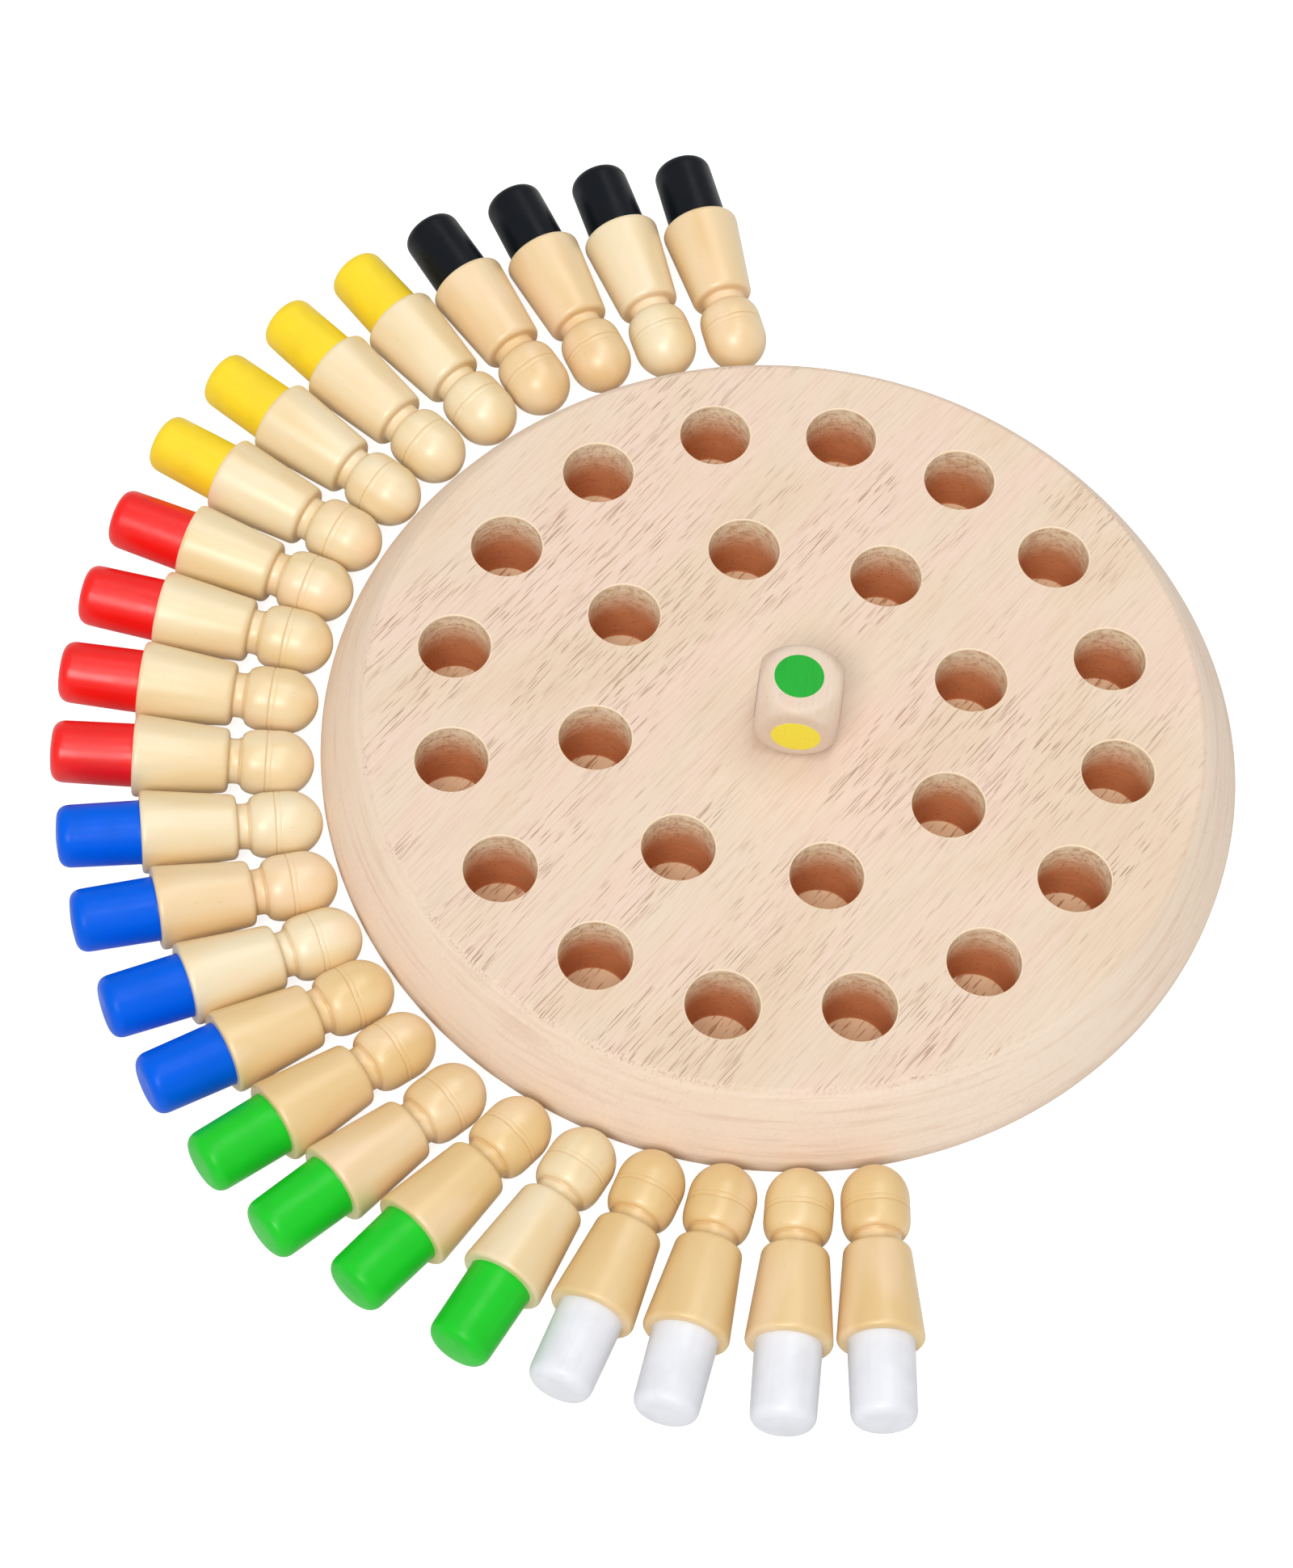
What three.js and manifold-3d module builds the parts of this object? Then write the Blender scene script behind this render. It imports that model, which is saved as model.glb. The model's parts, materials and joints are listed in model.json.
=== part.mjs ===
// A colour memory game, in millimetres with +Z up: a round beech board with two rings of blind
// holes, a set of turned pegs that lie in a fan round one side of it, and a wooden colour die.
// The origin is the centre of the board's underside, so Z = 0 is the table that everything
// stands or lies on.
import * as THREE from "three";
import { mergeVertices } from "three/addons/utils/BufferGeometryUtils.js";
import Module from "manifold-3d";

const wasm = await Module();
wasm.setup();

// ---- driving dimensions ----

const BOARD_RADIUS = 102.5;
const BOARD_THICKNESS = 23;
const FLAT_RADIUS = 93; // where the flat top gives way to the sloping rim
const RIM_HEIGHT = 7; // height of the widest line of the rim above the table
const FOOT_ROUND = 5; // radius of the rounded lower edge
const BOARD_SIDES = 72;

const HOLE_RADIUS = 8;
const HOLE_DEPTH = 21;
const HOLE_SIDES = 20;
const HOLE_PATTERN_TURN = 15.3; // degrees from +X to the first hole of both rings
const HOLE_RINGS = [
  { radius: 74.4, count: 16 },
  { radius: 42.5, count: 8 },
];

const HEAD_RADIUS = 7.3;
const HEAD_DOME = 7.6; // the ball's end to its widest ring, where the peg's own Y is 0
const GROOVE_START = 1.8;
const GROOVE_WIDTH = 1.2;
const GROOVE_DEPTH = 0.4;
const NECK_RADIUS = 5.1;
const NECK_START = 8.5;
const BODY_START = 11.2;
const BODY_TOP_RADIUS = 7.2;
const BODY_TOP_ROUND = 1.5;
const BODY_FOOT_RADIUS = 9.15; // the widest ring of the whole peg
const BODY_FOOT_ROUND = 1.1;
const SHANK_RADIUS = 7; // the dipped end, which drops into a hole
const SHANK_LENGTH = 18.4;
const SHANK_ROUND = 3.1;
const SHANK_DOME = 0.3;
const PEG_SIDES = 14;

const DIE_SIZE = 18.5;
const DIE_FACE_RADIUS = 8; // the round flat that is left on each face
const DIE_CENTRE = new THREE.Vector2(2.65, -3.3);
const DIE_TURN = 2.5; // degrees
const DIE_SIDES = 32;

// The pegs lie with their heads towards the rim, spaced round it, and point outwards in a fan
// that opens a little less than the spacing. They were laid by hand, so each has its own clear
// gap to the rim, slips some of a degree from its even place, and leans off the fan. Each colour
// was turned as a batch, whose bodies end at their own height.
const FAN_START = 99.2; // degrees from +X to the first head, seen from the board's centre
const FAN_STEP = 8;
const AIM_START = 105; // degrees from +X to where the first peg points
const AIM_STEP = 7.3;
const PEG_SETS = [
  {
    colour: "black",
    bodyEnd: 33,
    gap: [2.4, 2.4, 2.4, 2.3],
    slip: [-0.9, -0.2, 0.1, 0.3],
    lean: [4, 1.1, 0.1, -0.3],
  },
  {
    colour: "yellow",
    bodyEnd: 33,
    gap: [1.6, 1.2, 1, 1.4],
    slip: [0.2, 0.5, 0.7, 0.7],
    lean: [-0.3, -1.1, -1.6, -1.2],
  },
  {
    colour: "red",
    bodyEnd: 32.2,
    gap: [1.3, 1.2, 1.5, 1.7],
    slip: [0.5, 0.1, 0.3, 0.6],
    lean: [0.7, 1.7, 0.2, -1.8],
  },
  {
    colour: "blue",
    bodyEnd: 32.3,
    gap: [1.2, 1.6, 1.7, 2],
    slip: [0.6, 0.6, 0.3, -0.2],
    lean: [-1.8, -2.3, -1.1, -1.6],
  },
  {
    colour: "green",
    bodyEnd: 32.5,
    gap: [2.5, 3.6, 1.8, 1.8],
    slip: [-0.3, -0.1, -0.1, -0.2],
    lean: [-1.4, -4, -4.2, -0.2],
  },
  {
    colour: "white",
    bodyEnd: 32.5,
    gap: [1.7, 1.7, 1.6, 2],
    slip: [-0.3, -0.4, -0.1, 0.1],
    lean: [0.5, 1.2, 3, 1.2],
  },
];

// ---- finishes ----

const beech = (color, roughness) =>
  new THREE.MeshStandardMaterial({ color, roughness, metalness: 0 });
const boardFinish = beech(0xeed6c2, 0.7);
const pegFinish = beech(0xecd0a0, 0.35);
const dieFinish = beech(0xeed9bd, 0.45);

// ---- helpers ----

const radians = THREE.MathUtils.degToRad;

function solidFrom(geometry, position = new THREE.Vector3()) {
  const bare = geometry.clone().translate(position.x, position.y, position.z);
  bare.deleteAttribute("normal");
  bare.deleteAttribute("uv");
  const merged = mergeVertices(bare, 1e-4);
  return new wasm.Manifold(
    new wasm.Mesh({
      numProp: 3,
      vertProperties: merged.attributes.position.array,
      triVerts: new Uint32Array(merged.index.array),
    }),
  );
}

function geometryFrom(solid) {
  const mesh = solid.getMesh();
  const geometry = new THREE.BufferGeometry();
  geometry.setAttribute(
    "position",
    new THREE.BufferAttribute(new Float32Array(mesh.vertProperties), 3),
  );
  geometry.setIndex(new THREE.BufferAttribute(new Uint32Array(mesh.triVerts), 1));
  geometry.computeVertexNormals();
  return geometry;
}

function namedMesh(name, geometry, material) {
  const mesh = new THREE.Mesh(geometry, material);
  mesh.name = name;
  return mesh;
}

// A closed solid turned about +Y from a profile that starts and ends on the axis.
function turned(profile, sides) {
  return new THREE.LatheGeometry(profile, sides);
}

// ---- board ----

function boardProfile() {
  const outline = new THREE.Path();
  outline.moveTo(0, 0);
  outline.lineTo(BOARD_RADIUS - FOOT_ROUND, 0);
  outline.quadraticCurveTo(BOARD_RADIUS, 0, BOARD_RADIUS, FOOT_ROUND);
  outline.lineTo(BOARD_RADIUS, RIM_HEIGHT);
  // The rim slopes in with a slight belly, and meets the flat top in a soft corner.
  const corner = 0.2;
  const slopeX = THREE.MathUtils.lerp(FLAT_RADIUS, BOARD_RADIUS, corner) + 0.5;
  const slopeY = THREE.MathUtils.lerp(BOARD_THICKNESS, RIM_HEIGHT, corner);
  outline.quadraticCurveTo(BOARD_RADIUS - 2.6, RIM_HEIGHT + 6, slopeX, slopeY);
  outline.quadraticCurveTo(FLAT_RADIUS + 0.6, BOARD_THICKNESS, FLAT_RADIUS - 1.5, BOARD_THICKNESS);
  outline.lineTo(0, BOARD_THICKNESS);
  return outline.getPoints(3);
}

function makeBoard() {
  const blank = turned(boardProfile(), BOARD_SIDES).rotateX(Math.PI / 2);
  let solid = solidFrom(blank);
  const mouthClearance = 5;
  const drill = new THREE.CylinderGeometry(
    HOLE_RADIUS,
    HOLE_RADIUS,
    HOLE_DEPTH + mouthClearance,
    HOLE_SIDES,
  ).rotateX(Math.PI / 2);
  const drillHeight = BOARD_THICKNESS - HOLE_DEPTH + (HOLE_DEPTH + mouthClearance) / 2;
  for (const { radius, count } of HOLE_RINGS) {
    for (let i = 0; i < count; i++) {
      const angle = radians(HOLE_PATTERN_TURN + (360 / count) * i);
      const centre = new THREE.Vector3(
        radius * Math.cos(angle),
        radius * Math.sin(angle),
        drillHeight,
      );
      solid = solid.subtract(solidFrom(drill, centre));
    }
  }
  return namedMesh("board", geometryFrom(solid), boardFinish);
}

// ---- pegs ----

// One peg stands along its own Y: the ball's widest ring is at Y = 0, and the shank points to +Y.
function pegProfile(bodyEnd) {
  const tip = bodyEnd + SHANK_LENGTH;
  const grooveEnd = GROOVE_START + GROOVE_WIDTH;
  const outline = new THREE.Path();
  outline.moveTo(0, tip);
  outline.lineTo(SHANK_RADIUS - SHANK_ROUND, tip - SHANK_DOME);
  outline.quadraticCurveTo(SHANK_RADIUS, tip - SHANK_DOME, SHANK_RADIUS, tip - SHANK_ROUND);
  outline.lineTo(SHANK_RADIUS, bodyEnd);
  outline.lineTo(BODY_FOOT_RADIUS - BODY_FOOT_ROUND, bodyEnd);
  outline.lineTo(BODY_FOOT_RADIUS, bodyEnd - BODY_FOOT_ROUND);
  outline.lineTo(BODY_TOP_RADIUS, BODY_START + BODY_TOP_ROUND);
  outline.lineTo(BODY_TOP_RADIUS - BODY_TOP_ROUND, BODY_START);
  outline.lineTo(NECK_RADIUS, (BODY_START + NECK_START) / 2);
  outline.lineTo(NECK_RADIUS + 0.3, NECK_START);
  outline.quadraticCurveTo(HEAD_RADIUS, NECK_START, HEAD_RADIUS, grooveEnd);
  outline.lineTo(HEAD_RADIUS - GROOVE_DEPTH, GROOVE_START + GROOVE_WIDTH / 2);
  outline.lineTo(HEAD_RADIUS, GROOVE_START);
  outline.lineTo(HEAD_RADIUS, 0);
  outline.absellipse(0, 0, HEAD_RADIUS, HEAD_DOME, 0, -Math.PI / 2, true);
  return outline.getPoints(2).reverse();
}

// The peg lies on the head and on the foot of its body, so its axis rises towards the shank.
function restTilt(bodyEnd) {
  return Math.atan2(BODY_FOOT_RADIUS - HEAD_RADIUS, bodyEnd - BODY_FOOT_ROUND);
}

function makePegSet({ colour, bodyEnd, gap, slip, lean }, firstPlace) {
  const geometry = turned(pegProfile(bodyEnd), PEG_SIDES);
  return gap.map((clear, i) => {
    const place = firstPlace + i;
    const around = radians(FAN_START + FAN_STEP * place + slip[i]);
    const aim = radians(AIM_START + AIM_STEP * place + lean[i]);
    const reach = BOARD_RADIUS + clear + HEAD_RADIUS;
    const peg = namedMesh(`peg_${colour}_${i + 1}`, geometry, pegFinish);
    peg.rotation.set(restTilt(bodyEnd), 0, aim - Math.PI / 2, "ZXY");
    peg.position.set(reach * Math.cos(around), reach * Math.sin(around), 0);
    peg.position.z = -new THREE.Box3().setFromObject(peg, true).min.z;
    return peg;
  });
}

function makePegs() {
  const pegs = [];
  for (const set of PEG_SETS) {
    pegs.push(...makePegSet(set, pegs.length));
  }
  return pegs;
}

// ---- die ----

// A cube whose corners and edges are taken off by a ball about the same centre.
function makeDie() {
  const half = DIE_SIZE / 2;
  const cube = solidFrom(new THREE.BoxGeometry(DIE_SIZE, DIE_SIZE, DIE_SIZE));
  const ball = solidFrom(
    new THREE.SphereGeometry(Math.hypot(half, DIE_FACE_RADIUS), DIE_SIDES, DIE_SIDES / 2),
  );
  const die = namedMesh("die", geometryFrom(cube.intersect(ball)), dieFinish);
  const restGap = 0.3;
  die.position.set(DIE_CENTRE.x, DIE_CENTRE.y, BOARD_THICKNESS + restGap + half);
  die.rotation.z = radians(DIE_TURN);
  return die;
}

const group = new THREE.Group();
group.add(makeBoard(), ...makePegs(), makeDie());

export default group;
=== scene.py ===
import json
import math
import random

import bmesh
import bpy
from mathutils import Matrix, Vector


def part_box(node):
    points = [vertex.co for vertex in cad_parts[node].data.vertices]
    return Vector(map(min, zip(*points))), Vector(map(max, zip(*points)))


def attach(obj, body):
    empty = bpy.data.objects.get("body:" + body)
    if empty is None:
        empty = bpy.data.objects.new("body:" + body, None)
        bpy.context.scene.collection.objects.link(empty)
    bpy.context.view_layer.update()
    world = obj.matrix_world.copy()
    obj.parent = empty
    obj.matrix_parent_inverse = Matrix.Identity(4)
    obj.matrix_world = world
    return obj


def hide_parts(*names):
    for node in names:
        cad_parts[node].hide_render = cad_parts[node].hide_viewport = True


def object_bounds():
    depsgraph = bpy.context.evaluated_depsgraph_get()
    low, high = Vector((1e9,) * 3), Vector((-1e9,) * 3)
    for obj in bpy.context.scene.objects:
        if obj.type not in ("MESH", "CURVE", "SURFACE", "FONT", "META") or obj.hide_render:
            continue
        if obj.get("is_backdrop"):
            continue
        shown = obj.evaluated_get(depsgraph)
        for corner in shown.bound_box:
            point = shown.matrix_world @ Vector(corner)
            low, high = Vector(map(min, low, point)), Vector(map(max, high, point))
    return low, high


# A wooden colour memory game: a round beech board with blind holes, a set of turned pegs whose
# ends are dipped in paint, and a wooden die with a painted spot on each face.
# Everything is in metres; MM turns the small sizes below, which are in millimetres, into metres.

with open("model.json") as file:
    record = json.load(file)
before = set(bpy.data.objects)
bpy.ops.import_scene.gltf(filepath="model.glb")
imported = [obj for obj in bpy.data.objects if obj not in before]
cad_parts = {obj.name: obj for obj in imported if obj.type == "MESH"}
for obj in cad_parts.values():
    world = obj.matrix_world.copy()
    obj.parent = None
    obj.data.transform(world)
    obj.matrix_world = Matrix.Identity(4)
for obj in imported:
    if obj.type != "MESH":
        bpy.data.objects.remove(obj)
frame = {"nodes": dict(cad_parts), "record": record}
cad_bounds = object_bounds()

MM = 0.001

# ---- sizes, in millimetres ----

FLAT_RADIUS = 93.0  # where the board's flat top gives way to the sloping rim
RIM_HEIGHT = 7.0  # height of the rim's widest line
FOOT_ROUND = 5.0
BOARD_SIDES = 288

HOLE_RADIUS = 8.0
HOLE_SIDES = 72
MOUTH_ROUND = 0.45  # the sanded edge round each hole's mouth
FLOOR_ROUND = 0.3

# Heights on a peg are from the head's widest ring.
HEAD_RADIUS = 7.3
HEAD_DOME = 7.6  # from the head's end to its widest ring
GROOVES = {1.8: 0.09, 3.0: 0.14}  # the two fine lines round the head: height and depth
GROOVE_HALF_WIDTH = 0.32
CHIN_START = 4.6  # where the head begins to round in towards the neck
CHIN_RADIUS = 5.4  # its radius at the end of that rounding
NECK_START = 8.8
NECK_RADIUS = 5.05
BODY_START = 11.2
BODY_TOP_RADIUS = 7.25
BODY_TOP_ROUND = 1.6
BODY_FOOT_RADIUS = 9.15  # the widest ring of the whole peg
BODY_FOOT_ROUND = 1.3
SHANK_RADIUS = 7.0
SHANK_LENGTH = 18.4  # the painted end, from the body's shoulder to the tip
PAINT_THICKNESS = 0.24
TIP_PAINT = 0.2  # the paint's thickness on the end of the shank
PAINT_GAP = 0.02  # keeps the coat's inner skin off the wood
PEG_SIDES = 96

DIE_FACE_RADIUS = 8.0  # the round flat that is left on each face
DIE_SOFTNESS = 40  # a higher power leaves a crisper edge round each flat face
DIE_CELLS = 56  # cells of the mesh along each side of a face
SPOT_RADIUS = 5.4
SPOT_THICKNESS = 0.06
SPOT_SIDES = 72

GRAIN_ANGLE = math.radians(55)  # the board's grain, from +X

# ---- colours, as 0 to 255 ----

PAINTS = {  # on the pegs
    "black": (15, 19, 25),
    "yellow": (252, 219, 46),
    "red": (246, 26, 20),
    "blue": (0, 97, 230),
    "green": (30, 204, 42),
    "white": (236, 237, 242),
}
SPOTS = {  # on the die
    "green": (34, 176, 54),
    "yellow": (255, 238, 72),
    "red": (236, 40, 34),
    "black": (30, 34, 40),
    "white": (240, 240, 242),
    "blue": (10, 96, 226),
}
PEG_TONES = {  # the light and the dark bands of each peg's wood
    "pale": ((244, 230, 203), (237, 212, 168)),
    "peach": ((243, 222, 190), (235, 203, 156)),
    "honey": ((239, 211, 164), (230, 197, 142)),
}
SET_TONES = {  # the wood of each peg in a set, in the order that they lie in
    "black": ("peach", "pale", "peach", "peach"),
    "yellow": ("pale", "pale", "pale", "pale"),
    "red": ("pale", "pale", "pale", "pale"),
    "blue": ("pale", "peach", "pale", "honey"),
    "green": ("honey", "peach", "honey", "pale"),
    "white": ("honey", "honey", "honey", "honey"),
}

# How strongly each dipped paint shines, as a specular level.
PAINT_GLOSS = {"black": 0.2, "yellow": 0.3, "red": 0.5, "blue": 0.12, "green": 0.25, "white": 0.3}
SHADED = 0.96  # the darker patches of a paint, as a share of its colour
LACQUER = (0.99, 0.95, 0.82, 1)  # the clear coat's amber tint, as linear light


def srgb(colour):
    """A 0 to 255 colour as linear red, green, blue and alpha."""
    channels = [c / 255 for c in colour]
    linear = [c / 12.92 if c <= 0.04045 else ((c + 0.055) / 1.055) ** 2.4 for c in channels]
    return (*linear, 1.0)


# ---- camera and light ----

CAMERA_ELEVATION = math.radians(60.11)
CAMERA_ROLL = math.radians(4.56)
CAMERA_DISTANCE = 0.8196
CAMERA_SENSOR = 36  # millimetres along the picture's longer side
CAMERA_LENS = 86.55  # millimetres
CAMERA_AIM = (-28.99 * MM, -21.92 * MM)  # the point on the board's top that the camera looks at

AMBIENT = 0.42  # the light that the white backdrop gives
SUNS = {  # the direction that each shines from, its strength and its width in degrees
    "overhead": ((0.05, -0.12, 1.0), 0.15, 20),
    "back": ((0.18, 0.42, 1.0), 0.16, 30),
    "front": ((-0.22, -0.7, 1.0), 0.46, 26),
}


def make_camera():
    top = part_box("board")[1].z
    back = Vector((0, -math.cos(CAMERA_ELEVATION), math.sin(CAMERA_ELEVATION)))
    data = bpy.data.cameras.new("camera")
    data.lens = CAMERA_LENS
    data.sensor_width = CAMERA_SENSOR
    data.clip_end = 50
    camera = bpy.data.objects.new("camera", data)
    bpy.context.collection.objects.link(camera)
    aim = Vector((*CAMERA_AIM, top))
    level = back.to_track_quat("Z", "Y").to_matrix().to_4x4()
    roll = Matrix.Rotation(CAMERA_ROLL, 4, "Z")
    camera.matrix_world = Matrix.Translation(aim + back * CAMERA_DISTANCE) @ level @ roll
    bpy.context.scene.camera = camera


def make_sun(name, source, strength, width):
    """A soft sun that shines from the direction of source."""
    data = bpy.data.lights.new(name, "SUN")
    data.energy = strength * math.pi
    data.angle = math.radians(width)
    light = bpy.data.objects.new(name, data)
    bpy.context.collection.objects.link(light)
    light.rotation_euler = Vector(source).to_track_quat("Z", "Y").to_euler()


def make_light():
    world = bpy.data.worlds.new("studio")
    world.use_nodes = True
    tree = world.node_tree
    # The backdrop shows white, and gives a softer light than that.
    glow = tree.nodes.new("ShaderNodeMapRange")
    glow.inputs["To Min"].default_value = AMBIENT
    glow.inputs["To Max"].default_value = 1.0
    seen = tree.nodes.new("ShaderNodeLightPath").outputs["Is Camera Ray"]
    tree.links.new(seen, glow.inputs["Value"])
    tree.links.new(glow.outputs["Result"], tree.nodes["Background"].inputs["Strength"])
    tree.nodes["Background"].inputs["Color"].default_value = (1, 1, 1, 1)
    bpy.context.scene.world = world
    bpy.context.scene.view_settings.view_transform = "Standard"
    for name, (source, strength, width) in SUNS.items():
        make_sun(name, source, strength, width)


# ---- materials ----


class Finish:
    """A material with one Principled shader, and short names for the nodes that drive it."""

    def __init__(self, name, roughness=0.5, specular=0.5, coat=0.0, coat_roughness=0.1):
        self.material = bpy.data.materials.new(name)
        self.material.use_nodes = True
        self.tree = self.material.node_tree
        self.shader = self.tree.nodes["Principled BSDF"]
        self.set("Roughness", roughness)
        self.set("Specular IOR Level", specular)
        self.set("Coat Weight", coat)
        self.set("Coat Roughness", coat_roughness)

    def set(self, socket, value):
        """Gives the shader's socket a plain value, or links it to a node's output."""
        if isinstance(value, bpy.types.NodeSocket):
            self.tree.links.new(value, self.shader.inputs[socket])
        else:
            self.shader.inputs[socket].default_value = value

    def node(self, kind, inputs=None, **settings):
        """A new node, with plain values or other nodes' outputs on its inputs."""
        node = self.tree.nodes.new(kind)
        for name, value in settings.items():
            setattr(node, name, value)
        for key, value in (inputs or {}).items():
            if isinstance(value, bpy.types.NodeSocket):
                self.tree.links.new(value, node.inputs[key])
            else:
                node.inputs[key].default_value = value
        return node

    def place(self, turn=0.0):
        """The place in the piece, in millimetres, turned about Z so that X runs along the grain."""
        coordinates = self.node("ShaderNodeTexCoord").outputs["Object"]
        return self.node(
            "ShaderNodeMapping",
            {"Vector": coordinates, "Scale": (1 / MM,) * 3, "Rotation": (0, 0, turn)},
            vector_type="POINT",
        ).outputs["Vector"]

    def shifted(self, place, distance):
        """place, moved by a random distance that differs from piece to piece."""
        chance = self.node("ShaderNodeObjectInfo").outputs["Random"]
        offset = self.math("MULTIPLY", chance, distance)
        join = self.node("ShaderNodeCombineXYZ", {"X": offset, "Y": offset, "Z": offset})
        return self.node(
            "ShaderNodeVectorMath", {0: place, 1: join.outputs[0]}, operation="ADD"
        ).outputs[0]

    def moved(self, place, distance):
        """place, moved by the same distance along all three axes."""
        return self.node(
            "ShaderNodeVectorMath", {0: place, 1: (distance,) * 3}, operation="ADD"
        ).outputs[0]

    def stretched(self, place, scale):
        """place, scaled along each axis: a small scale draws a pattern out along that axis."""
        return self.node(
            "ShaderNodeVectorMath", {0: place, 1: scale}, operation="MULTIPLY"
        ).outputs[0]

    def noise(self, place, scale=1.0, detail=2.0, roughness=0.5, distortion=0.0):
        return self.node(
            "ShaderNodeTexNoise",
            {
                "Vector": place,
                "Scale": scale,
                "Detail": detail,
                "Roughness": roughness,
                "Distortion": distortion,
            },
        ).outputs["Fac"]

    def dashes(self, place, size, width, share):
        """Short marks, one at most in each cell of the given size: 1 on a mark and 0 off it."""
        cells = self.node(
            "ShaderNodeTexVoronoi",
            {"Vector": self.stretched(place, tuple(1 / s for s in size)), "Scale": 1.0},
        )
        mark = self.smooth(cells.outputs["Distance"], width, width * 0.45)
        chance = self.node("ShaderNodeSeparateColor", {"Color": cells.outputs["Color"]})
        kept = self.math("LESS_THAN", chance.outputs[0], share)
        return self.math("MULTIPLY", mark, kept)

    def smooth(self, value, low, high, to_low=0.0, to_high=1.0):
        """value taken smoothly from low..high to to_low..to_high."""
        return self.node(
            "ShaderNodeMapRange",
            {
                "Value": value,
                "From Min": low,
                "From Max": high,
                "To Min": to_low,
                "To Max": to_high,
            },
            interpolation_type="SMOOTHSTEP",
        ).outputs["Result"]

    def math(self, operation, a, b=0.0):
        return self.node("ShaderNodeMath", {0: a, 1: b}, operation=operation).outputs[0]

    def mix(self, factor, a, b):
        """Colour a where factor is 0 and colour b where it is 1."""
        node = self.node("ShaderNodeMix", data_type="RGBA")
        for socket, value in ((0, factor), (6, a), (7, b)):
            if isinstance(value, bpy.types.NodeSocket):
                self.tree.links.new(value, node.inputs[socket])
            else:
                node.inputs[socket].default_value = value
        return node.outputs[2]

    def height(self, place):
        """The Z coordinate of place."""
        return self.node("ShaderNodeSeparateXYZ", {"Vector": place}).outputs["Z"]

    def bump(self, height, distance, strength, before=None):
        """A bump of the given depth in millimetres, on top of the bump before."""
        inputs = {"Height": height, "Distance": distance * MM, "Strength": strength}
        if before is not None:
            inputs["Normal"] = before
        return self.node("ShaderNodeBump", inputs).outputs["Normal"]


def board_beech():
    """Bare sanded beech: pale and slightly pink, in soft bands, with fine dark pore dashes.
    The pores come as hairs, fine dashes and bold dashes, and crowd together in some bands."""
    f = Finish("board_beech", specular=0.3)
    place = f.place(turn=-GRAIN_ANGLE)
    bands = f.noise(f.stretched(place, (0.012, 0.06, 0.06)), 1.0, 3.0, 0.55, 0.6)
    colour = f.mix(f.smooth(bands, 0.38, 0.62), srgb((233, 212, 190)), srgb((236, 210, 191)))
    patches = f.noise(f.stretched(place, (0.02, 0.04, 0.04)), 1.0, 1.0)
    colour = f.mix(f.smooth(patches, 0.48, 0.7), colour, srgb((230, 207, 181)))
    fibres = f.noise(f.stretched(place, (0.06, 1.7, 1.7)), 1.0, 3.0, 0.6)
    colour = f.mix(f.smooth(fibres, 0.42, 0.74, 0.0, 0.42), colour, srgb((216, 180, 150)))
    crowded = f.noise(f.stretched(place, (0.018, 0.06, 0.06)), 1.0, 2.0)
    crowded = f.smooth(crowded, 0.42, 0.6)
    hairs = f.noise(f.stretched(place, (0.12, 3.2, 3.2)), 1.0, 1.0, 0.4)
    hairs = f.math("MULTIPLY", f.smooth(hairs, 0.6, 0.7), f.smooth(crowded, 0, 1, 0.12, 0.75))
    fine = f.dashes(place, (12.0, 0.65, 5.0), 0.2, 0.7)
    fine = f.math("MULTIPLY", fine, f.smooth(crowded, 0, 1, 0.25, 1.0))
    bold = f.dashes(f.moved(place, 40.0), (17.0, 1.2, 6.0), 0.15, 0.35)
    bold = f.math("MULTIPLY", bold, f.smooth(crowded, 0, 1, 0.5, 1.0))
    pores = f.math("MAXIMUM", f.math("MAXIMUM", hairs, fine), bold)
    height = f.height(place)
    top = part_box("board")[1].z / MM
    flat = f.smooth(height, top - 1.5, top)
    pores = f.math("MULTIPLY", pores, f.smooth(flat, 0, 1, 0.2, 1.0))
    # The rim is painted paler, as painted light on its sloping face, and it is cut across the
    # layers of the wood, which show as level streaks.
    # Lower down, painted shade darkens it a little towards its foot, where it meets the table.
    rim = f.smooth(flat, 0, 1, 1.0, 0.0)
    colour = f.mix(f.math("MULTIPLY", rim, 0.5), colour, srgb((251, 233, 214)))
    layers = f.noise(f.stretched(place, (0.035, 0.035, 0.8)), 1.0, 4.0, 0.6)
    streaks = f.math("MULTIPLY", rim, f.smooth(layers, 0.46, 0.72, 0.0, 0.42))
    colour = f.mix(streaks, colour, srgb((216, 182, 154)))
    foot = f.smooth(height, RIM_HEIGHT - 1.0, 0.0, 0.0, 0.5)
    colour = f.mix(foot, colour, srgb((196, 150, 116)))
    colour = f.mix(f.math("MULTIPLY", pores, 0.72), colour, srgb((152, 106, 74)))
    f.set("Base Color", colour)
    f.set("Roughness", f.smooth(fibres, 0.3, 0.7, 0.55, 0.7))
    grain = f.bump(fibres, 0.05, 0.5)
    f.set("Normal", f.bump(f.math("SUBTRACT", 1.0, pores), 0.14, 0.6, grain))
    return f.material


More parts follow.
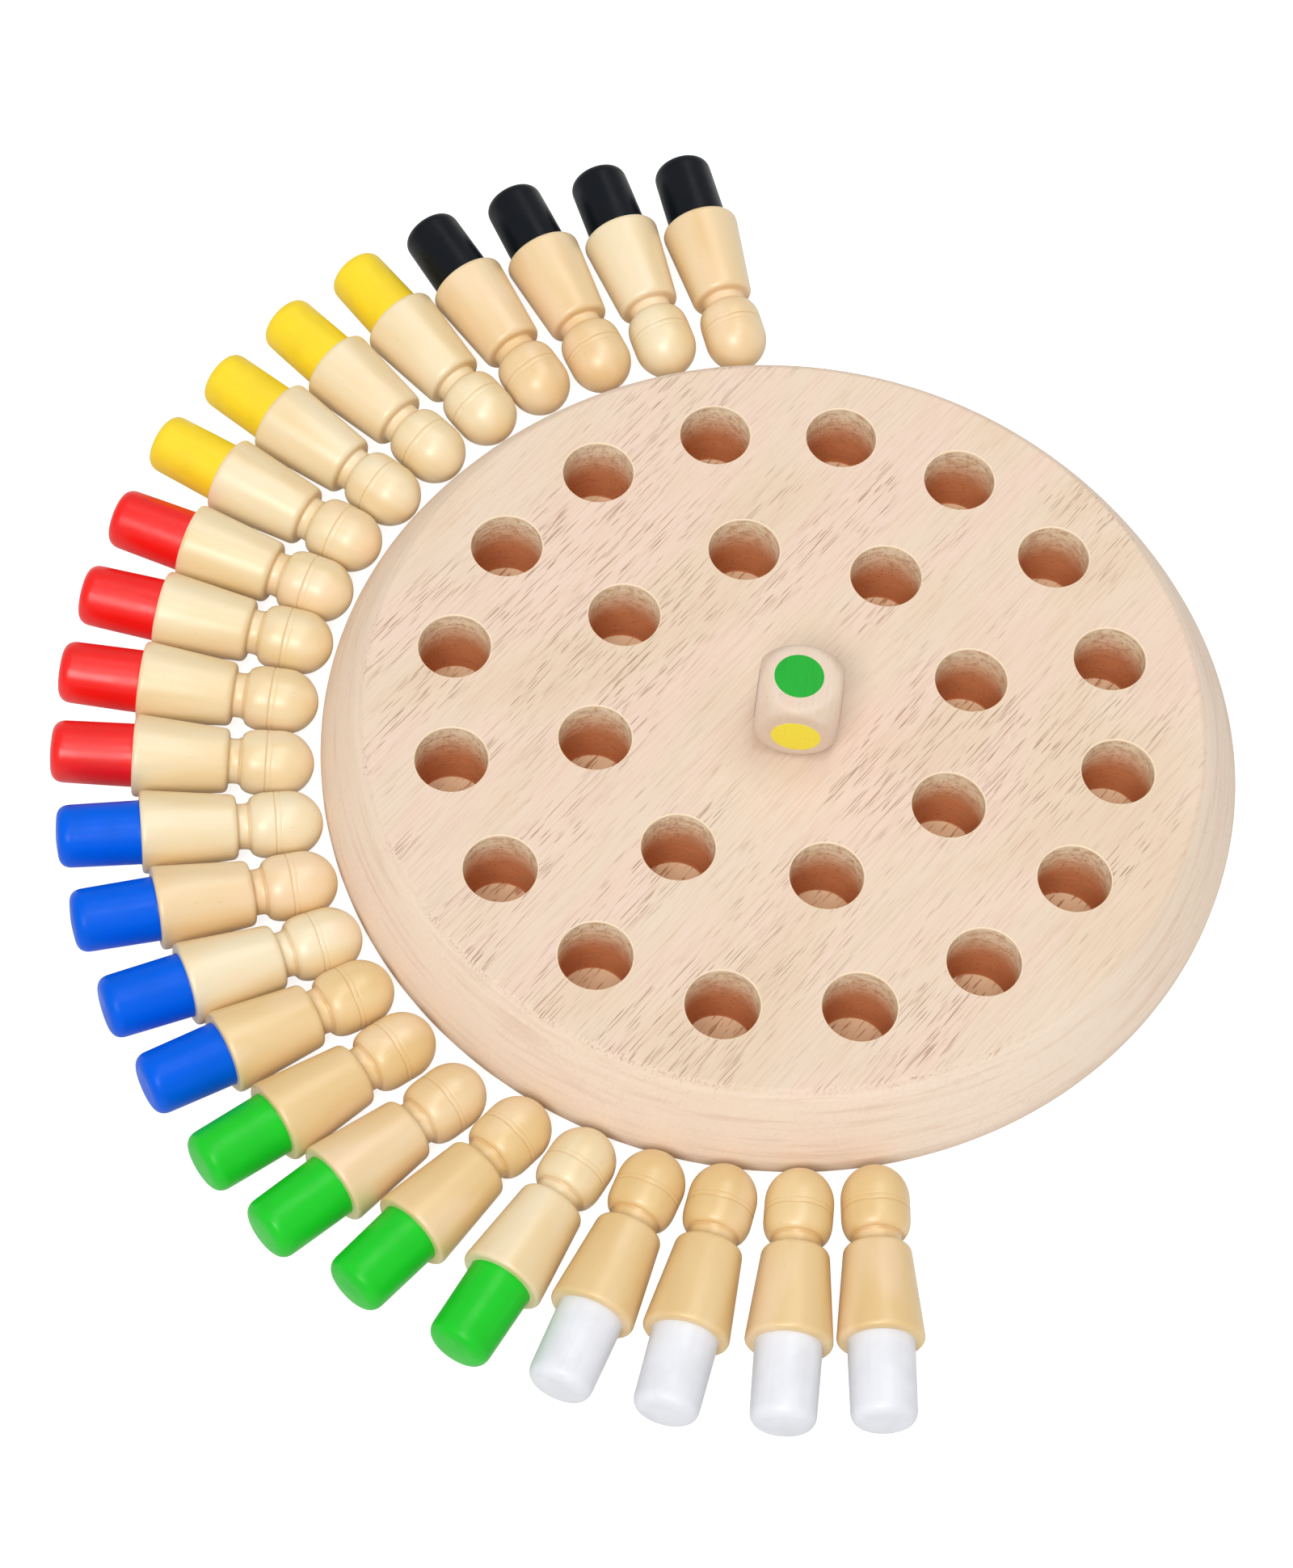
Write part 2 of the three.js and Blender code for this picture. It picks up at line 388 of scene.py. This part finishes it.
def hole_wall():
    """The drilled wall, with painted light near the mouth and painted shade that reddens and
    darkens with depth, and rings left by the drill.
    """
    f = Finish("hole_wall", roughness=0.7, specular=0.2)
    place = f.place(turn=-GRAIN_ANGLE)
    height = f.height(place)
    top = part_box("board")[1].z / MM
    # Painted light and shade: near white just under the mouth, going to a dark red-brown further
    # down, where less light reaches.
    shade = f.smooth(height, top - 1.0, top - 13.0)
    colour = f.mix(shade, srgb((255, 240, 208)), srgb((210, 138, 92)))
    mottled = f.noise(f.stretched(place, (0.45, 0.45, 0.6)), 1.0, 3.0, 0.7)
    colour = f.mix(f.smooth(mottled, 0.42, 0.66, 0.0, 0.55), colour, srgb((200, 140, 100)))
    rings = f.noise(f.stretched(place, (0.12, 0.12, 2.4)), 1.0, 3.0, 0.6)
    colour = f.mix(f.smooth(rings, 0.45, 0.7, 0.0, 0.35), colour, srgb((182, 114, 78)))
    specks = f.dashes(place, (1.1, 1.1, 0.8), 0.32, 0.45)
    colour = f.mix(f.math("MULTIPLY", specks, 0.6), colour, srgb((150, 84, 56)))
    f.set("Base Color", colour)
    f.set("Normal", f.bump(mottled, 0.3, 0.6, f.bump(rings, 0.12, 0.7)))
    return f.material


def hole_floor():
    """The drilled floor: pale wood crossed by the grain, painted paler as painted light that
    reaches down the hole.
    """
    f = Finish("hole_floor", roughness=0.7, specular=0.2)
    place = f.place(turn=-GRAIN_ANGLE)
    fibres = f.noise(f.stretched(place, (0.12, 1.8, 1.8)), 1.0, 3.0, 0.6)
    # Painted light: the floor's wood is made paler, standing in for the light that reaches down the
    # hole.
    colour = f.mix(fibres, srgb((255, 238, 204)), srgb((253, 219, 174)))
    pores = f.dashes(place, (9.0, 1.0, 4.0), 0.24, 0.8)
    streaks = f.noise(f.stretched(place, (0.15, 1.4, 1.4)), 1.0, 2.0, 0.6)
    pores = f.math("MAXIMUM", pores, f.smooth(streaks, 0.56, 0.66))
    colour = f.mix(f.math("MULTIPLY", pores, 0.7), colour, srgb((178, 108, 68)))
    f.set("Base Color", colour)
    f.set("Normal", f.bump(fibres, 0.08, 0.5))
    return f.material


def mouth_edge():
    """The sanded edge of a hole, painted paler than the wood on either side of it as a painted
    highlight.
    """
    f = Finish("mouth_edge", roughness=0.6, specular=0.3)
    fibres = f.noise(f.stretched(f.place(turn=-GRAIN_ANGLE), (0.1, 1.6, 1.6)), 1.0, 2.0)
    # Painted highlight: paler than the board's wood round the rounded edge.
    f.set("Base Color", f.mix(fibres, srgb((250, 232, 202)), srgb((244, 218, 186))))
    return f.material


def peg_beech(tone):
    """Turned wood under clear lacquer, with the grain along the peg."""
    light, dark = PEG_TONES[tone]
    f = Finish(f"peg_beech_{tone}", coat=0.7, coat_roughness=0.32)
    f.set("Coat Tint", LACQUER)
    place = f.place()
    own = f.shifted(place, 340.0)
    bands = f.noise(f.stretched(own, (0.1, 0.1, 0.02)), 1.0, 2.0, 0.5, 0.3)
    colour = f.mix(f.smooth(bands, 0.3, 0.72), srgb(light), srgb(dark))
    blush = f.noise(f.stretched(own, (0.1, 0.1, 0.04)), 1.0, 1.0)
    colour = f.mix(f.smooth(blush, 0.5, 0.72, 0.0, 0.5), colour, srgb((250, 222, 196)))
    fibres = f.noise(f.stretched(own, (1.3, 1.3, 0.05)), 1.0, 3.0, 0.6)
    colour = f.mix(f.smooth(fibres, 0.5, 0.8, 0.0, 0.22), colour, srgb(dark))
    pores = f.dashes(own, (0.9, 0.9, 5.0), 0.18, 0.25)
    colour = f.mix(f.math("MULTIPLY", pores, 0.16), colour, srgb((176, 122, 70)))
    # Painted shade: the colour darkens in the deeper groove and at both ends of the neck, where
    # shade falls in these creases.
    height = f.height(place)
    painted_crease_shade = None
    for line, reach in ((max(GROOVES), 0.3), (NECK_START, 0.5), (BODY_START, 0.5)):
        away = f.math("ABSOLUTE", f.math("SUBTRACT", height, line))
        near = f.smooth(away, reach, 0.0)
        painted_crease_shade = near if painted_crease_shade is None else f.math("MAXIMUM", painted_crease_shade, near)
    colour = f.mix(f.math("MULTIPLY", painted_crease_shade, 0.3), colour, srgb((200, 142, 78)))
    f.set("Base Color", colour)
    turned = f.noise(f.stretched(place, (0.02, 0.02, 3.0)), 1.0, 2.0, 0.6)
    f.set("Roughness", f.smooth(fibres, 0.3, 0.8, 0.36, 0.46))
    f.set("Normal", f.bump(turned, 0.015, 0.4, f.bump(fibres, 0.015, 0.3)))
    return f.material


def dip_paint(name):
    """Paint that a peg's end was dipped in: smooth, with faint streaks from the grain below."""
    f = Finish(f"paint_{name}", specular=PAINT_GLOSS[name])
    own = f.shifted(f.place(), 210.0)
    streaks = f.noise(f.stretched(own, (0.8, 0.8, 0.05)), 1.0, 2.0, 0.5)
    soft = f.noise(own, 0.14, 2.0)
    base = srgb(PAINTS[name])
    shade = srgb([c * SHADED for c in PAINTS[name]])
    mixed = f.mix(f.smooth(streaks, 0.45, 0.75, 0.0, 0.4), base, shade)
    f.set("Base Color", f.mix(f.smooth(soft, 0.4, 0.7, 0.0, 0.7), mixed, shade))
    f.set("Roughness", f.smooth(soft, 0.3, 0.7, 0.28, 0.38))
    lumps = f.noise(own, 0.35, 2.0)
    f.set("Normal", f.bump(streaks, 0.012, 0.3, f.bump(lumps, 0.12, 0.4)))
    return f.material


def die_wood():
    """Smooth pale wood under a thin clear coat, with its grain along Y."""
    f = Finish("die_wood", roughness=0.5, coat=0.15, coat_roughness=0.3)
    place = f.place()
    bands = f.noise(f.stretched(place, (0.5, 0.04, 0.35)), 1.0, 3.0, 0.6, 0.4)
    colour = f.mix(f.smooth(bands, 0.35, 0.7), srgb((229, 209, 190)), srgb((227, 201, 175)))
    blush = f.noise(f.stretched(place, (0.2, 0.08, 0.2)), 1.0, 1.0)
    colour = f.mix(f.smooth(blush, 0.45, 0.65, 0.0, 0.7), colour, srgb((231, 204, 188)))
    fibres = f.noise(f.stretched(place, (2.4, 0.12, 2.4)), 1.0, 3.0, 0.6)
    colour = f.mix(f.smooth(fibres, 0.5, 0.8, 0.0, 0.4), colour, srgb((214, 180, 142)))
    pores = f.dashes(place, (0.7, 3.4, 0.7), 0.2, 0.3)
    colour = f.mix(f.math("MULTIPLY", pores, 0.35), colour, srgb((164, 118, 84)))
    f.set("Base Color", colour)
    f.set("Normal", f.bump(fibres, 0.03, 0.5))
    return f.material


def spot_paint(name):
    """A printed spot on the die, thin enough for the grain to show."""
    f = Finish(f"spot_{name}", roughness=0.5, specular=0.2)
    place = f.place()
    fibres = f.noise(f.stretched(place, (2.0, 0.12, 2.0)), 1.0, 2.0, 0.5)
    base = srgb(SPOTS[name])
    shade = srgb([c * SHADED for c in SPOTS[name]])
    f.set("Base Color", f.mix(f.smooth(fibres, 0.4, 0.7), base, shade))
    f.set("Normal", f.bump(fibres, 0.015, 0.3))
    return f.material


def floor_white():
    """A white table that glows to the camera and hardly lights the pieces, so that it shows
    white, with faint shadows on it."""
    f = Finish("floor_white", roughness=0.8, specular=0.1)
    soft = f.noise(f.place(), 0.004, 1.0)
    f.set("Base Color", f.mix(soft, (0.69, 0.69, 0.69, 1), (0.71, 0.71, 0.71, 1)))
    f.set("Emission Color", (1, 1, 1, 1))
    seen = f.node("ShaderNodeLightPath").outputs["Is Camera Ray"]
    f.set("Emission Strength", f.smooth(seen, 0.0, 1.0, 0.08, 0.8))
    return f.material


# ---- meshes ----


class Outline:
    """A profile in millimetres for a turned shape: points of (radius, height)."""

    def __init__(self, radius, height):
        self.points = [(radius, height)]

    def line(self, radius, height):
        self.points.append((radius, height))
        return self

    def curve(self, control, end, steps):
        """A quadratic curve from the last point, pulled towards control."""
        start = self.points[-1]
        for i in range(1, steps + 1):
            t = i / steps
            a, b, c = (1 - t) ** 2, 2 * t * (1 - t), t * t
            self.line(*(a * s + b * k + c * e for s, k, e in zip(start, control, end)))
        return self

    def ellipse(self, centre, radii, start, stop, steps):
        """Part of an ellipse, between two angles in degrees."""
        for i in range(1, steps + 1):
            angle = math.radians(start + (stop - start) * i / steps)
            self.line(
                centre[0] + radii[0] * math.cos(angle),
                centre[1] + radii[1] * math.sin(angle),
            )
        return self


def turn(name, outline, sides, material_of=None):
    """A closed mesh turned about Z from an outline that starts and ends on the axis.
    material_of(i) gives the material index of the band that follows point i."""
    points = [(r * MM, z * MM) for r, z in outline.points]
    vertices, rings, faces, slots = [], [], [], []
    for r, z in points:
        if r < 1e-9:
            rings.append([len(vertices)] * sides)
            vertices.append((0, 0, z))
            continue
        rings.append(list(range(len(vertices), len(vertices) + sides)))
        for i in range(sides):
            angle = 2 * math.pi * i / sides
            vertices.append((r * math.cos(angle), r * math.sin(angle), z))
    for band, (low, high) in enumerate(zip(rings, rings[1:])):
        for i in range(sides):
            j = (i + 1) % sides
            corners = list(dict.fromkeys((low[i], low[j], high[j], high[i])))
            faces.append(corners)
            slots.append(material_of(band) if material_of else 0)
    mesh = bpy.data.meshes.new(name)
    mesh.from_pydata(vertices, [], faces)
    mesh.polygons.foreach_set("material_index", slots)
    bm = bmesh.new()
    bm.from_mesh(mesh)
    bmesh.ops.recalc_face_normals(bm, faces=bm.faces)
    bm.to_mesh(mesh)
    bm.free()
    return mesh


def smooth_shade(mesh, sharp_degrees):
    """Smooth shading, with a crease at each edge that turns by more than sharp_degrees."""
    mesh.shade_smooth()
    mesh.set_sharp_from_angle(angle=math.radians(sharp_degrees))


def add_object(name, mesh):
    piece = bpy.data.objects.new(name, mesh)
    bpy.context.collection.objects.link(piece)
    return piece


# ---- board ----


def board_outline(radius, thickness):
    """Flat underside, rounded foot, sloping rim with a slight belly, soft corner and flat top."""
    corner = 0.2  # the share of the slope that the corner rounds off
    slope_r = FLAT_RADIUS + (radius - FLAT_RADIUS) * corner + 0.5
    slope_z = thickness + (RIM_HEIGHT - thickness) * corner
    outline = Outline(0, 0).line(radius - FOOT_ROUND, 0)
    outline.curve((radius, 0), (radius, FOOT_ROUND), 12)
    outline.line(radius, RIM_HEIGHT)
    outline.curve((radius - 2.6, RIM_HEIGHT + 6), (slope_r, slope_z), 14)
    outline.curve((FLAT_RADIUS + 0.4, thickness), (FLAT_RADIUS - 0.9, thickness), 10)
    return outline.line(0, thickness)


WALL, FLOOR, MOUTH = 1, 2, 3  # the board's material slots for its holes


def drill_mesh(floor, top):
    """The shape that is taken out for one hole: the bit, with its flare at the mouth."""
    outline = Outline(0, floor).line(HOLE_RADIUS - FLOOR_ROUND, floor)
    floor_bands = len(outline.points) - 1
    outline.curve((HOLE_RADIUS, floor), (HOLE_RADIUS, floor + FLOOR_ROUND), 3)
    outline.line(HOLE_RADIUS, top - MOUTH_ROUND)
    wall_bands = len(outline.points) - 1
    proud = 0.02  # so that the flare cuts cleanly through the top
    above = 3
    mouth = HOLE_RADIUS + MOUTH_ROUND
    outline.curve((HOLE_RADIUS, top), (mouth, top + proud), 5)
    outline.line(mouth, top + above).line(0, top + above)

    def material_of(band):
        if band < floor_bands:
            return FLOOR
        return WALL if band < wall_bands else MOUTH

    return turn("drill", outline, HOLE_SIDES, material_of)


def drill_holes(board, top):
    """Takes every hole that the record states out of the board."""
    holes = [opening["box_m"] for opening in frame["record"]["physics"]["openings"]]
    lowest_opening = min(low[2] for low, high in holes)
    # The holes' floors are the highest points of the CAD board below the openings.
    heights = [v.co.z for v in frame["nodes"]["board"].data.vertices]
    floor = max(z for z in heights if z <= lowest_opening)
    drill = drill_mesh(floor / MM, top)
    joined = bmesh.new()
    for low, high in holes:
        centre = [(a + b) / 2 for a, b in zip(low, high)]
        copy = drill.copy()
        copy.transform(Matrix.Translation((centre[0], centre[1], 0)))
        joined.from_mesh(copy)
        bpy.data.meshes.remove(copy)
    joined.to_mesh(drill)
    joined.free()
    for material in board.data.materials:
        drill.materials.append(material)
    cutter = add_object("drill", drill)
    cut = board.modifiers.new("holes", "BOOLEAN")
    cut.operation = "DIFFERENCE"
    cut.solver = "EXACT"
    cut.object = cutter
    bpy.context.view_layer.update()
    evaluated = board.evaluated_get(bpy.context.evaluated_depsgraph_get())
    result = bpy.data.meshes.new_from_object(evaluated)
    board.modifiers.clear()
    board.data = result
    bpy.data.objects.remove(cutter)


def crease_flat_top(mesh, top):
    """Smooth shading everywhere, with creases round the flat top so that it stays flat."""
    smooth_shade(mesh, 40)
    bm = bmesh.new()
    bm.from_mesh(mesh)

    def is_top(face):
        return face.normal.z > 0.9999 and face.calc_center_median().z > top - 0.01 * MM

    for edge in bm.edges:
        if len(edge.link_faces) == 2:
            a, b = edge.link_faces
            if is_top(a) != is_top(b):
                edge.smooth = False
    bm.to_mesh(mesh)
    bm.free()


def make_board():
    low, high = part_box("board")
    radius = (high.x - low.x) / 2 / MM
    mesh = turn("board_wood", board_outline(radius, high.z / MM), BOARD_SIDES)
    for material in (board_beech(), hole_wall(), hole_floor(), mouth_edge()):
        mesh.materials.append(material)
    board = add_object("board_wood", mesh)
    drill_holes(board, high.z / MM)
    crease_flat_top(board.data, high.z)
    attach(board, "board")
    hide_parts("board")


# ---- pegs ----


def peg_outline(shoulder, tip):
    """The bare peg, from the head's end to the tip."""
    outline = Outline(0, -HEAD_DOME)
    add_head(outline)
    add_neck(outline)
    add_body(outline, shoulder)
    under = SHANK_RADIUS - PAINT_THICKNESS
    side, pull, end = shank_rounding(under, tip - TIP_PAINT)
    outline.line(under, shoulder).line(*side)
    outline.curve(pull, end, 8)
    return outline.line(0, tip - TIP_PAINT)


def add_head(outline):
    """A ball with two grooves just past its widest ring, rounded in to its chin."""
    outline.ellipse((0, 0), (HEAD_RADIUS, HEAD_DOME), -90, 0, 22)
    half = GROOVE_HALF_WIDTH
    for line, depth in GROOVES.items():
        outline.line(HEAD_RADIUS, line - half - 0.1)
        outline.curve((HEAD_RADIUS, line - half * 0.5), (HEAD_RADIUS - depth, line), 4)
        outline.curve((HEAD_RADIUS, line + half * 0.5), (HEAD_RADIUS, line + half + 0.1), 4)
    chin_top_radius = HEAD_RADIUS - 0.03
    chin_end = NECK_START - 0.3
    outline.line(chin_top_radius, CHIN_START)
    radii = (chin_top_radius - CHIN_RADIUS, chin_end - CHIN_START)
    outline.ellipse((CHIN_RADIUS, CHIN_START), radii, 0, 90, 12)


def add_neck(outline):
    """A slightly hollow neck, with a small round at both of its ends."""
    top, foot = NECK_START, BODY_START
    outline.line(CHIN_RADIUS - 0.05, top - 0.05)
    outline.curve((NECK_RADIUS + 0.1, top), (NECK_RADIUS, top + 0.5), 4)
    outline.curve((NECK_RADIUS - 0.1, top + 1.3), (NECK_RADIUS, foot - 0.3), 4)
    outline.curve((NECK_RADIUS + 0.05, foot), (NECK_RADIUS + 0.6, foot + 0.02), 4)


def add_body(outline, shoulder):
    """A round top edge, a flare down to the foot, and the foot's own round to the shoulder."""
    top = BODY_START
    outline.curve((BODY_TOP_RADIUS - 0.1, top + 0.05), (BODY_TOP_RADIUS, top + BODY_TOP_ROUND), 8)
    outline.line(BODY_FOOT_RADIUS - 0.02, shoulder - BODY_FOOT_ROUND)
    outline.curve((BODY_FOOT_RADIUS + 0.06, shoulder), (BODY_FOOT_RADIUS - 0.95, shoulder), 7)


def shank_rounding(radius, tip):
    """The curve that rounds a shank's end: its start on the side, the point that it is pulled
    towards, and its end on the tip."""
    return (radius, tip - 3.0), (radius, tip - 0.4), (radius - 3.1, tip - 0.3)


def paint_outline(shoulder, tip):
    """The coat of paint on the shank: a thin cup with a bead where it meets the shoulder.
    Its inner skin comes first, from the tip to the shoulder, and then its outer skin."""
    inner = SHANK_RADIUS - PAINT_THICKNESS + PAINT_GAP
    inner_tip = tip - TIP_PAINT + PAINT_GAP
    side, pull, end = shank_rounding(inner, inner_tip)
    outline = Outline(0, inner_tip).line(*end)
    outline.curve(pull, side, 8)
    outer, rim = SHANK_RADIUS, shoulder + PAINT_GAP
    outline.line(inner, rim).line(outer + 0.1, rim)
    outline.curve((outer + 0.02, shoulder + 0.25), (outer + 0.02, shoulder + 0.6), 3)
    outline.line(outer - 0.1, tip - 3.3)
    outline.curve((outer - 0.15, tip - 0.45), (outer - 3.2, tip - 0.3), 12)
    outline.curve((outer - 5.0, tip - 0.08), (1.2, tip - 0.05), 4)
    return outline.line(0, tip)


def peg_place(node):
    """The matrix of a peg's own axes, with Z from head to tip and Z = 0 at the ball's widest
    ring, and the height of its tip on that Z in millimetres."""
    points = [v.co for v in frame["nodes"][node].data.vertices]
    centre = sum(points, Vector()) / len(points)
    first = max(points, key=lambda p: (p - centre).length)
    second = max(points, key=lambda p: (p - first).length)
    rough = (second - first).normalized()
    ends = [pick(points, key=lambda p: p.dot(rough)) for pick in (min, max)]
    head, tip = sorted(ends, key=lambda p: p.xy.length)
    axis = (tip - head).normalized()
    turned = axis.to_track_quat("Z", "Y").to_matrix().to_4x4()
    place = Matrix.Translation(head + axis * HEAD_DOME * MM) @ turned
    return place, (tip - head).length / MM - HEAD_DOME


def make_pegs():
    draws = random.Random(11)  # each peg lies turned by its own angle about its axis
    woods = {tone: peg_beech(tone) for tone in PEG_TONES}
    for colour, tones in SET_TONES.items():
        paint = dip_paint(colour)
        for i, tone in enumerate(tones):
            node = f"peg_{colour}_{i + 1}"
            place, tip = peg_place(node)
            place = place @ Matrix.Rotation(draws.uniform(0, math.tau), 4, "Z")
            shoulder = tip - SHANK_LENGTH
            wood = turn(f"{node}_wood", peg_outline(shoulder, tip), PEG_SIDES)
            coat = turn(f"{node}_paint", paint_outline(shoulder, tip), PEG_SIDES)
            for mesh, material in ((wood, woods[tone]), (coat, paint)):
                smooth_shade(mesh, 50)
                mesh.materials.append(material)
            add_riding(f"{node}_wood", wood, place, node, node)
            add_riding(f"{node}_paint", coat, place, node)


def add_riding(name, mesh, place, body, replaced=None):
    """A piece at its place, riding on a body and the node it stands for."""
    piece = add_object(name, mesh)
    piece.matrix_world = place
    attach(piece, body)
    if replaced:
        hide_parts(replaced)


# ---- die ----

DIE_SPOTS = {  # which way each spot faces, and how far off centre it is printed, in millimetres
    "green": ((0, 0, 1), (0.65, -0.3)),
    "yellow": ((0, -1, 0), (0.3, -0.2)),
    "red": ((1, 0, 0), (0.3, 0.2)),
    "black": ((-1, 0, 0), (-0.2, 0.3)),
    "white": ((0, 1, 0), (0.4, -0.2)),
    "blue": ((0, 0, -1), (-0.3, -0.3)),
}


def die_mesh(half):
    """A cube whose edges and corners a ball takes off, softly blended where the two meet."""
    ball = math.hypot(half, DIE_FACE_RADIUS)
    bm = bmesh.new()
    bmesh.ops.create_cube(bm, size=2)
    bmesh.ops.subdivide_edges(bm, edges=bm.edges, cuts=DIE_CELLS - 1, use_grid_fill=True)
    for vertex in bm.verts:
        way = Vector([math.tan(c * math.pi / 4) for c in vertex.co]).normalized()
        total = ball**-DIE_SOFTNESS
        total += sum((abs(c) / half) ** DIE_SOFTNESS for c in way)
        vertex.co = way * total ** (-1 / DIE_SOFTNESS) * MM
    mesh = bpy.data.meshes.new("die_wood")
    bm.to_mesh(mesh)
    bm.free()
    mesh.shade_smooth()
    return mesh


def die_place():
    """The matrix of the die's own axes, worked out from its CAD node, and half its height.
    The points of its right-hand face show how far it is turned."""
    low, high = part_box("die")
    centre = (low + high) / 2
    points = [v.co for v in frame["nodes"]["die"].data.vertices]
    right = [p for p in points if p.x > centre.x + 0.9 * (high.x - centre.x)]
    face = sum(right, Vector()) / len(right) - centre
    half = (high.z - low.z) / 2
    return Matrix.Translation(centre) @ Matrix.Rotation(math.atan2(face.y, face.x), 4, "Z"), half


def spot_mesh(half):
    """A disc of paint let into a face and just proud of it, with a rounded edge."""
    back, front = half - 0.5, half + SPOT_THICKNESS
    outline = Outline(0, back).line(SPOT_RADIUS, back).line(SPOT_RADIUS, half)
    outline.curve((SPOT_RADIUS, front), (SPOT_RADIUS - 0.12, front), 3)
    return turn("spot", outline.line(0, front), SPOT_SIDES)


def make_die():
    place, half = die_place()
    mesh = die_mesh(half / MM)
    mesh.materials.append(die_wood())
    add_riding("die_wood", mesh, place, "die", "die")
    spot = spot_mesh(half / MM)
    smooth_shade(spot, 60)
    for colour, (way, shift) in DIE_SPOTS.items():
        copy = spot.copy()
        copy.transform(Matrix.Translation((shift[0] * MM, shift[1] * MM, 0)))
        copy.transform(Vector(way).to_track_quat("Z", "Y").to_matrix().to_4x4())
        copy.materials.append(spot_paint(colour))
        add_riding(f"die_spot_{colour}", copy, place, "die")


# ---- floor ----


def make_floor():
    half = 6.0
    z = -0.05 * MM  # just under the pieces
    corners = [(-half, -half, z), (half, -half, z), (half, half, z), (-half, half, z)]
    mesh = bpy.data.meshes.new("floor")
    mesh.from_pydata(corners, [], [(0, 1, 2, 3)])
    mesh.materials.append(floor_white())
    add_object("floor", mesh)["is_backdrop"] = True


make_camera()
make_light()
make_floor()
make_board()
make_pegs()
make_die()

sizes = {"cad": cad_bounds, "visual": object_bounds()}
{name: [list(corner) for corner in box] for name, box in sizes.items()}
